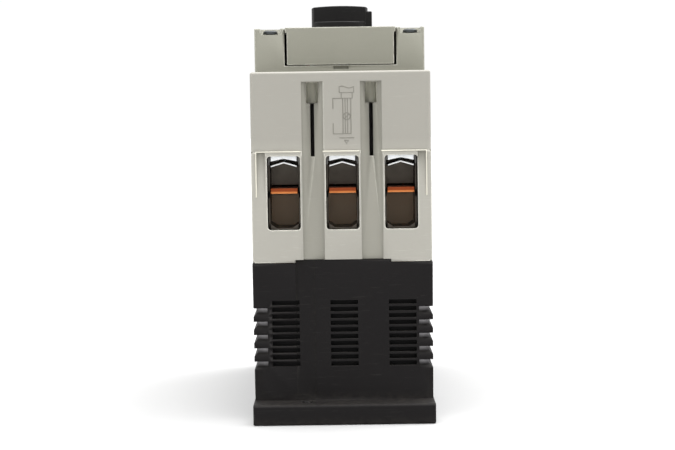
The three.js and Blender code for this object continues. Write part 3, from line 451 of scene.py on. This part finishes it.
metalLooks = {
    "screwDark": {
        "color": tone(0.035, 0.04, 0.042), "tint": tone(0.05, 0.055, 0.055),
        "lineColor": tone(0.08, 0.08, 0.08),
        "lineTone": 0.4, "edge": 0.7, "edgeWearAndHighlightColor": tone(0.3, 0.3, 0.3), "along": (1.0, 1.0, 8.0),
        "lineSize": 0.0005, "lineDepth": 0.3, "scuffs": 0.4, "rough": 0.35},
    "barCopper": {
        # painted shade darkens the upper band of the bar's face; the bright edge colour is a painted
        # highlight on its lower edge
        "zones": [(40, 100, 88.5, 92, 0.35, 1.0, tone(0.24, 0.052, 0.018))],
        "color": tone(0.62, 0.22, 0.065), "tint": tone(0.5, 0.16, 0.045),
        "lineColor": tone(0.5, 0.17, 0.06),
        "lineTone": 0.5, "edge": 0.9, "edgeWearAndHighlightColor": tone(0.85, 0.38, 0.16), "along": (25.0, 1.0, 1.0),
        "lineSize": 0.0004, "lineDepth": 0.5, "scuffs": 0.5, "rough": 0.34},
    "zincBright": {
        "color": tone(0.78, 0.79, 0.8), "tint": tone(0.68, 0.7, 0.7), "lineColor": tone(0.88, 0.88, 0.86),
        "lineTone": 0.4, "edge": 0.7, "edgeWearAndHighlightColor": tone(0.95, 0.95, 0.93), "along": (1.0, 22.0, 1.0),
        "lineSize": 0.0005, "lineDepth": 0.4, "scuffs": 0.4, "rough": 0.3},
    "zincCage": {
        "color": tone(0.82, 0.84, 0.86), "tint": tone(0.74, 0.77, 0.78), "lineColor": tone(0.9, 0.9, 0.89),
        "lineTone": 0.4, "edge": 0.4, "edgeWearAndHighlightColor": tone(0.95, 0.95, 0.94), "along": (1.0, 1.0, 18.0),
        # painted shade: the cage darkens with depth and below the pressure plate, with a black painted
        # shadow just under the bar
        "zones": [(40, 66, 60, 140, 3, 1.0, tone(0.075, 0.066, 0.055)),
                  (40, 100, 60, 99.2, 0.4, 1.0, tone(0.075, 0.066, 0.055)),
                  (40, 66, 86, 89, 0.4, 1.0, tone(0.006, 0.006, 0.006))],
        "lineSize": 0.0006, "lineDepth": 0.4, "scuffs": 0.4, "rough": 0.38},
    "zincDull": {
        "color": tone(0.36, 0.33, 0.28), "tint": tone(0.28, 0.25, 0.21),
        "lineColor": tone(0.42, 0.39, 0.34),
        "lineTone": 0.5, "edge": 0.8, "edgeWearAndHighlightColor": tone(0.62, 0.6, 0.56), "along": (1.0, 1.0, 18.0),
        "lineSize": 0.0006, "lineDepth": 0.5, "scuffs": 0.5, "rough": 0.42},
}

materials = {name: plasticMaterial(name, look) for name, look in plasticLooks.items()}
materials.update({name: metalMaterial(name, look) for name, look in metalLooks.items()})
print("materials made:", len(materials))


def finishPiece(name, mesh, material, body, replaced=()):
    piece = bpy.data.objects.new(name, mesh)
    scene.collection.objects.link(piece)
    mesh.materials.clear()
    mesh.materials.append(materials[material])
    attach(piece, body)
    if replaced:
        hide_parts(*replaced)
    return piece


# angles in degrees, lengths in metres
shellCleaning = {"weld": 2e-6, "flatAngle": 0.05, "roundFrom": 32}
softShading = {"sliver": 4e-6, "flatAngle": 0.3, "softFrom": 1, "softTo": 38, "faceWeight": 60}


# flat faces keep their own normals and only the rounds shade softly
def softenNormals(piece):
    mesh = piece.data
    work = bmesh.new()
    work.from_mesh(mesh)
    bmesh.ops.dissolve_degenerate(work, dist=softShading["sliver"], edges=work.edges)
    bmesh.ops.dissolve_limit(work, angle_limit=math.radians(softShading["flatAngle"]),
                             verts=work.verts, edges=work.edges)
    bmesh.ops.triangulate(work, faces=[face for face in work.faces if len(face.verts) > 4])
    for face in work.faces:
        shared = [edge for edge in face.edges if len(edge.link_faces) == 2]
        bends = [math.degrees(edge.calc_face_angle(0.0)) for edge in shared]
        face.smooth = any(softShading["softFrom"] < bend < softShading["softTo"] for bend in bends)
    work.to_mesh(mesh)
    work.free()
    mesh.set_sharp_from_angle(angle=math.radians(softShading["softTo"]))
    weighted = piece.modifiers.new("flat faces", "WEIGHTED_NORMAL")
    weighted.keep_sharp = True
    weighted.weight = softShading["faceWeight"]


def evaluatedMesh(piece, name):
    graph = bpy.context.evaluated_depsgraph_get()
    mesh = bpy.data.meshes.new_from_object(piece.evaluated_get(graph))
    mesh.name = name
    return mesh


# A finished shell from a frame node: its outline kept, its edges rounded by roundFor(middle, along) in mm.
def roundedShell(node, name, material, body, roundFor, segments=3):
    work = bmesh.new()
    work.from_mesh(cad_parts[node].data)
    bmesh.ops.remove_doubles(work, verts=work.verts, dist=shellCleaning["weld"])
    bmesh.ops.dissolve_limit(work, angle_limit=math.radians(shellCleaning["flatAngle"]),
                             verts=work.verts, edges=work.edges)
    bmesh.ops.triangulate(work, faces=work.faces)
    weights = work.edges.layers.float.new("bevel_weight_edge")
    widest = 0.0
    for edge in work.edges:
        bend = edge.calc_face_angle(0.0)
        if len(edge.link_faces) != 2 or bend < math.radians(shellCleaning["roundFrom"]):
            continue
        first, second = (corner.co / mm for corner in edge.verts)
        width = roundFor((first + second) / 2, (second - first).normalized())
        edge[weights] = width
        widest = max(widest, width)
    for edge in work.edges:
        edge[weights] = edge[weights] / max(widest, 1e-6)
    mesh = bpy.data.meshes.new(name)
    work.to_mesh(mesh)
    work.free()
    rough = bpy.data.objects.new(name + "Rough", mesh)
    scene.collection.objects.link(rough)
    if widest > 0:
        bevel = rough.modifiers.new("round", "BEVEL")
        bevel.limit_method = "WEIGHT"
        bevel.width = widest * mm
        bevel.segments = segments
        bevel.use_clamp_overlap = False
    finished = evaluatedMesh(rough, name)
    bpy.data.objects.remove(rough, do_unlink=True)
    piece = finishPiece(name, finished, material, body, (node,))
    softenNormals(piece)
    return piece


# Round beads laid along polylines, for raised marks and for painted highlight lines.
def beadPiece(name, lines, radius, material, body):
    curve = bpy.data.curves.new(name + "Path", "CURVE")
    curve.dimensions = "3D"
    curve.bevel_depth = radius
    curve.bevel_resolution = 2
    curve.use_fill_caps = True
    for line in lines:
        spline = curve.splines.new("POLY")
        spline.points.add(len(line) - 1)
        for point, place in zip(spline.points, line):
            point.co = (*place, 1.0)
    holder = bpy.data.objects.new(name + "Path", curve)
    scene.collection.objects.link(holder)
    mesh = evaluatedMesh(holder, name)
    bpy.data.objects.remove(holder, do_unlink=True)
    piece = finishPiece(name, mesh, material, body)
    piece.data.shade_smooth()
    return piece


def arcPoints(centre, radius, start, end, steps):
    points = []
    for i in range(steps + 1):
        angle = math.radians(start + (end - start) * i / steps)
        points.append((centre[0] + radius * math.cos(angle), centre[1] + radius * math.sin(angle)))
    return points


baseRounds = {"corner": 0.6, "flange": 0.45}


def baseRound(centre, along):
    x, y, z = abs(centre.x), abs(centre.y), centre.z
    if z < 8 and (y > 81 or x > 34.95):
        return baseRounds["flange"]
    upright = x > 34.3 and y > 70.4 and abs(along.z) > 0.9
    return baseRounds["corner"] if upright and z > 44 else 0.0


baseShell = roundedShell("base_housing", "baseShell", "baseAnthracite", "root", baseRound)

# dark plates behind the vents as painted shade, so that nothing inside shows
ventShadeSheetSize = {"halfX": 8.6, "thick": 0.8, "bottom": 16, "top": 52, "face": 70.5, "behind": 3.4}


def makeVentShadeSheets():
    work = bmesh.new()
    for x in poleX:
        for side in (-1, 1):
            y = side * (ventShadeSheetSize["face"] - ventShadeSheetSize["behind"]) * mm
            z = (ventShadeSheetSize["bottom"] + ventShadeSheetSize["top"]) / 2 * mm
            height = (ventShadeSheetSize["top"] - ventShadeSheetSize["bottom"]) * mm
            size = Matrix.Diagonal((2 * ventShadeSheetSize["halfX"] * mm, ventShadeSheetSize["thick"] * mm, height, 1))
            bmesh.ops.create_cube(work, size=1.0, matrix=Matrix.Translation(Vector((x, y, z))) @ size)
    mesh = bpy.data.meshes.new("ventShadeSheets")
    work.to_mesh(mesh)
    work.free()
    finishPiece("ventShadeSheets", mesh, "ventShadeBlack", "root")


makeVentShadeSheets()
print("base shell:", len(baseShell.data.polygons), "faces")


housingRounds = {"corner": 1.0, "top": 0.9, "ledge": 0.6}


def housingRound(centre, along):
    x, y, z = abs(centre.x), abs(centre.y), centre.z
    if z > 135 and (y > 69.5 or x > 34.4):
        return housingRounds["top"]
    if abs(z - 104.35) < 0.05 and y > 70.4 and abs(along.x) > 0.9:
        return housingRounds["ledge"]
    upright = x > 34.4 and y > 69.7 and abs(along.z) > 0.9
    return housingRounds["corner"] if upright else 0.0


for node, name in (("middle_housing", "middleShell"), ("terminal_block_line", "lineBlockShell"),
                   ("terminal_block_load", "loadBlockShell")):
    shell = roundedShell(node, name, "housingGrey", "root", housingRound)
    print(name + ":", len(shell.data.polygons), "faces")

# painted highlight: light beads along the ledge above the wire mouths and down the outer side of each edge
# groove
highlightBead = {"radius": 0.27, "outer": 32.9, "top": 104.25, "foot": 86.8, "blockEdge": 15.6, "middleEdge": 7.1}


def makeLedgeHighlights():
    for end, label in ((-1, "Line"), (1, "Load")):
        y = abs(blockFace) * end
        lines = []
        for side in (-1, 1):
            path = [(highlightBead["blockEdge"], highlightBead["top"]), (highlightBead["outer"], highlightBead["top"]), (highlightBead["outer"], highlightBead["foot"])]
            lines.append([(side * x * mm, y, z * mm) for x, z in path])
        lines.append([(x * mm, y, highlightBead["top"] * mm) for x in (-highlightBead["middleEdge"], highlightBead["middleEdge"])])
        beadPiece("mouthLedgeHighlight" + label, lines, highlightBead["radius"] * mm, "highlightWhite", "root")


makeLedgeHighlights()

# the stripping-length drawing on the middle pole: jacket, cores, a crossed circle and a dimension line
stripMark = {"wire": 0.16, "left": -0.4, "right": 5.2, "top": 128.9, "neckTop": 126.8, "neckBottom": 124.6,
             "bottom": 111.0, "footLine": 109.4, "footLeft": -0.6, "dimension": -2.9, "gapTop": 120.6,
             "gapBottom": 115.0, "circle": 1.35, "circleAt": (2.4, 117.7), "neckLeft": 0.4,
             "neckRight": 4.6, "cores": (0.9, 1.8, 2.7, 4.0), "wave": 0.35, "waveSteps": 12, "sunk": 0.7,
             "arrow": ((1.4, 108.4), (2.9, 108.4), (2.2, 107.2), (1.4, 108.4))}


def makeStripMark():
    m = stripMark
    face = blockFace + m["sunk"] * mm
    outline = []

    def line(*points):
        outline.append([(x * mm, face, z * mm) for x, z in points])

    steps = m["waveSteps"]
    wave = [(m["left"] + (m["right"] - m["left"]) * i / steps,
             m["top"] + m["wave"] * math.sin(i / steps * 2 * math.pi + 0.4)) for i in range(steps + 1)]
    line((m["left"], m["neckTop"]), *wave, (m["right"], m["neckTop"]), (m["left"], m["neckTop"]))
    line((m["neckLeft"], m["neckTop"]), (m["neckLeft"], m["neckBottom"]),
         (m["neckRight"], m["neckBottom"]), (m["neckRight"], m["neckTop"]))
    for x in m["cores"]:
        line((x, m["neckBottom"]), (x, m["bottom"]))
    circle = m["circleAt"]
    line(*arcPoints(circle, m["circle"], 0, 360, 20))
    reach = m["circle"] * 0.7
    line((circle[0] - reach, circle[1] - reach), (circle[0] + reach, circle[1] + reach))
    line((m["dimension"], m["bottom"]), (m["cores"][-1], m["bottom"]))
    line((m["dimension"], m["neckBottom"]), (m["neckLeft"], m["neckBottom"]))
    line((m["dimension"], m["neckBottom"]), (m["dimension"], m["gapTop"]))
    line((m["dimension"], m["gapBottom"]), (m["dimension"], m["bottom"]))
    line((m["footLeft"], m["footLine"]), (m["right"], m["footLine"]))
    line(*m["arrow"])
    beadPiece("stripLengthMark", outline, m["wire"] * mm, "reliefGrey", "root")


makeStripMark()


coverRounds = {"corner": 0.6, "rim": 0.3}


def coverRound(centre, along):
    x, y, z = abs(centre.x), abs(centre.y), centre.z
    if x > 33.8 and y > 39.9 and abs(along.z) > 0.9:
        return coverRounds["corner"]
    return coverRounds["rim"] if z > 152.9 and (x > 33.8 or y > 39.9) else 0.0


def evenRound(width):
    return lambda centre, along: width


roundedShell("front_cover", "coverShell", "coverGrey", "root", coverRound)
roundedShell("aux_slot_cover", "slotPanel", "coverGrey", "aux_panel", evenRound(0.25))
for number in range(1, 5):
    roundedShell(f"cover_screw_{number}", f"coverScrew{number}", "screwDark", "root",
                 evenRound(0.12), 2)
print("front cover made")


roundedShell("rotary_handle", "knobShell", "knobBlack", "handle", evenRound(0.45))
roundedShell("handle_lock_tab", "tabShell", "zincBright", "lock_tab", evenRound(0.15), 2)
roundedShell("setting_dial", "dialShell", "dialWhite", "dial", evenRound(0.2))
roundedShell("test_button", "keyShell", "testRed", "test_key", evenRound(0.3))
roundedShell("rail_latch", "latchShell", "knobBlack", "latch", evenRound(0.3))
roundedShell("rating_label", "plateShell", "plateSilver", "root", evenRound(0.12), 2)

scaleMarks = {"ring": 15.6, "tick": 1.6, "longTick": 1.7, "dialRing": 6.6, "dialTick": 1.1, "wire": 0.14}


# ticks round the handle and the dial, on the cover's face
def makeScaleMarks():
    ticks = []
    for degrees in range(0, 100, 10):
        angle = math.radians(-degrees)
        length = scaleMarks["tick"] * (scaleMarks["longTick"] if degrees in (0, 90) else 1.0)
        direction = Vector((math.cos(angle), math.sin(angle), 0))
        start = Vector((knobX, 0, coverTop)) + direction * scaleMarks["ring"] * mm
        ticks.append([tuple(start), tuple(start + direction * length * mm)])
    dialAt = middle("setting_dial")
    for step in range(10):
        angle = math.radians(90 + 135 - step * 30)
        direction = Vector((math.cos(angle), math.sin(angle), 0))
        start = Vector((dialAt.x, dialAt.y, coverTop)) + direction * scaleMarks["dialRing"] * mm
        ticks.append([tuple(start), tuple(start + direction * scaleMarks["dialTick"] * mm)])
    beadPiece("scaleTicks", ticks, scaleMarks["wire"] * mm, "printGrey", "root")


makeScaleMarks()
print("controls made")


threadLook = {"pitch": 1.25, "depth": 0.55, "crest": 1.25, "chamfer": 0.7, "columns": 30, "rowsPerTurn": 8,
              "hex": 4.0, "hexDepth": 4.0}


def hexRadius(angle, flats):
    sector = math.radians(60)
    within = (angle % sector) - sector / 2
    return flats / 2 / math.cos(within)


# an M8 clamp screw with a turned thread and a hexagon socket
def threadedScrew(node, name, body):
    low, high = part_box(node)
    centre = (low + high) / 2
    radius = (high.x - low.x) / 2
    t = threadLook
    pitch, depth = t["pitch"] * mm, t["depth"] * mm
    rows = int((high.z - low.z) / pitch * t["rowsPerTurn"])
    work = bmesh.new()
    rings = []
    for row in range(rows + 1):
        z = low.z + (high.z - low.z) * row / rows
        ends = min(z - low.z, high.z - z)
        ring = []
        for column in range(t["columns"]):
            angle = 2 * math.pi * column / t["columns"]
            phase = (z / pitch - column / t["columns"]) % 1.0
            crest = min(1.0, abs(2 * phase - 1) * t["crest"])
            reach = radius - depth * (1 - crest)
            reach = min(reach, radius - t["chamfer"] * mm + ends)
            x, y = centre.x + reach * math.cos(angle), centre.y + reach * math.sin(angle)
            ring.append(work.verts.new((x, y, z)))
        rings.append(ring)
    for z in (high.z, high.z - t["hexDepth"] * mm):
        ring = []
        for column in range(t["columns"]):
            angle = 2 * math.pi * column / t["columns"]
            reach = hexRadius(angle, t["hex"]) * mm
            x, y = centre.x + reach * math.cos(angle), centre.y + reach * math.sin(angle)
            ring.append(work.verts.new((x, y, z)))
        rings.append(ring)
    for lower, upper in zip(rings, rings[1:]):
        for i in range(t["columns"]):
            j = (i + 1) % t["columns"]
            work.faces.new((lower[i], lower[j], upper[j], upper[i]))
    work.faces.new(list(reversed(rings[0])))
    work.faces.new(rings[-1])
    mesh = bpy.data.meshes.new(name)
    work.to_mesh(mesh)
    work.free()
    piece = finishPiece(name, mesh, "zincBright", body, (node,))
    mesh.shade_smooth()
    mesh.set_sharp_from_angle(angle=math.radians(50))
    return piece


for end in endNames:
    for number in poleNumbers:
        tag = f"{end}_{number}"
        label = f"{end.title()}{number}"
        roundedShell(f"clamp_cage_{tag}", f"clampCage{label}", "zincCage", f"cage_{tag}",
                     evenRound(0.2), 2)
        roundedShell(f"pressure_plate_{tag}", f"pressurePlate{label}", "zincBright", f"plate_{tag}",
                     evenRound(0.15), 2)
        roundedShell(f"{end}_bar_{number}", f"bar{label}", "barCopper", "root", evenRound(0.2), 2)
        threadedScrew(f"clamp_screw_{tag}", f"clampScrew{label}", f"screw_{tag}")
print("terminals made")


innerFinishes = {
    "handle_shaft": "zincBright", "switch_lock_frame": "zincBright", "contact_carrier": "innerBrown",
    "trip_bar": "innerBrown", "contact_bridge": "barCopper", "arc_chute": "zincDull",
    "trip_coil": "barCopper", "plunger": "zincDull", "bimetal": "zincDull",
}
for node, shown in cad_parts.items():
    family = node.rstrip("123").rstrip("_")
    if family in innerFinishes:
        shown.data.materials.clear()
        shown.data.materials.append(materials[innerFinishes[family]])
print("inner pieces finished")


studio = {"floor": 6.0, "floorDrop": 0.0002, "level": 1.02, "overhead": 5.4, "overheadPower": 4.0,
          "sun": 1.7, "sunAngle": 40, "sunTilt": (-14, 36)}


def makeFloor():
    size = studio["floor"]
    mesh = bpy.data.meshes.new("studioFloor")
    corners = [(-size, -size, 0), (size, -size, 0), (size, size, 0), (-size, size, 0)]
    mesh.from_pydata(corners, [], [(0, 1, 2, 3)])
    floor = bpy.data.objects.new("studioFloor", mesh)
    scene.collection.objects.link(floor)
    material, tree, shader, place = startMaterial("studioWhite")
    drift = useGroup(tree, driftGroup, Vector=place, Color=tone(0.42, 0.42, 0.42), Tint=tone(0.4, 0.4, 0.4),
                     Amount=0.5, Size=0.4)
    tree.links.new(drift["Color"], shader.inputs["Base Color"])
    shader.inputs["Roughness"].default_value = 0.9
    shader.inputs["Specular IOR Level"].default_value = 0.1
    mesh.materials.append(material)
    floor.location.z = -studio["floorDrop"]


def makeLights():
    world = bpy.data.worlds.new("studioAir")
    world.use_nodes = True
    tree = world.node_tree
    air = tree.nodes["Background"]
    air.inputs["Color"].default_value = tone(1.0, 1.0, 1.0)
    way = tree.nodes.new("ShaderNodeTexCoord").outputs["Generated"]
    upward = addNode(tree, "ShaderNodeSeparateXYZ", {"Vector": way}).outputs["Z"]
    overhead = addMath(tree, "POWER", addMath(tree, "MAXIMUM", upward, 0.0), studio["overheadPower"])
    tree.links.new(addMath(tree, "MULTIPLY_ADD", overhead, studio["overhead"], studio["level"]),
                   air.inputs["Strength"])
    scene.world = world
    sun = bpy.data.lights.new("overheadSoft", "SUN")
    sun.energy = studio["sun"]
    sun.angle = math.radians(studio["sunAngle"])
    lamp = bpy.data.objects.new("overheadSoft", sun)
    lamp.rotation_euler = (math.radians(studio["sunTilt"][0]), math.radians(studio["sunTilt"][1]), 0)
    scene.collection.objects.link(lamp)


makeFloor()
makeLights()
scene.view_settings.view_transform = "Standard"

# camera: level with the front cover's foot, a little left of the middle, tipped down and rolled slightly
lens = {"place": (-1.76, -720.5, 121.2), "down": 4.0, "roll": -0.804, "focal": 89.89}


def makeCamera():
    data = bpy.data.cameras.new("portrait")
    data.lens = lens["focal"]
    data.sensor_width = 36
    camera = bpy.data.objects.new("portrait", data)
    scene.collection.objects.link(camera)
    down, roll = math.radians(lens["down"]), math.radians(lens["roll"])
    ahead = Vector((0, math.cos(down), -math.sin(down)))
    level = Vector((0, math.sin(down), math.cos(down)))
    right = Vector((math.cos(roll), 0, 0)) + level * math.sin(roll)
    above = Vector((-math.sin(roll), 0, 0)) + level * math.cos(roll)
    turn = Matrix((right, above, -ahead)).transposed()
    camera.matrix_world = Matrix.Translation(Vector(lens["place"]) * mm) @ turn.to_4x4()
    scene.camera = camera


makeCamera()
print("studio ready")
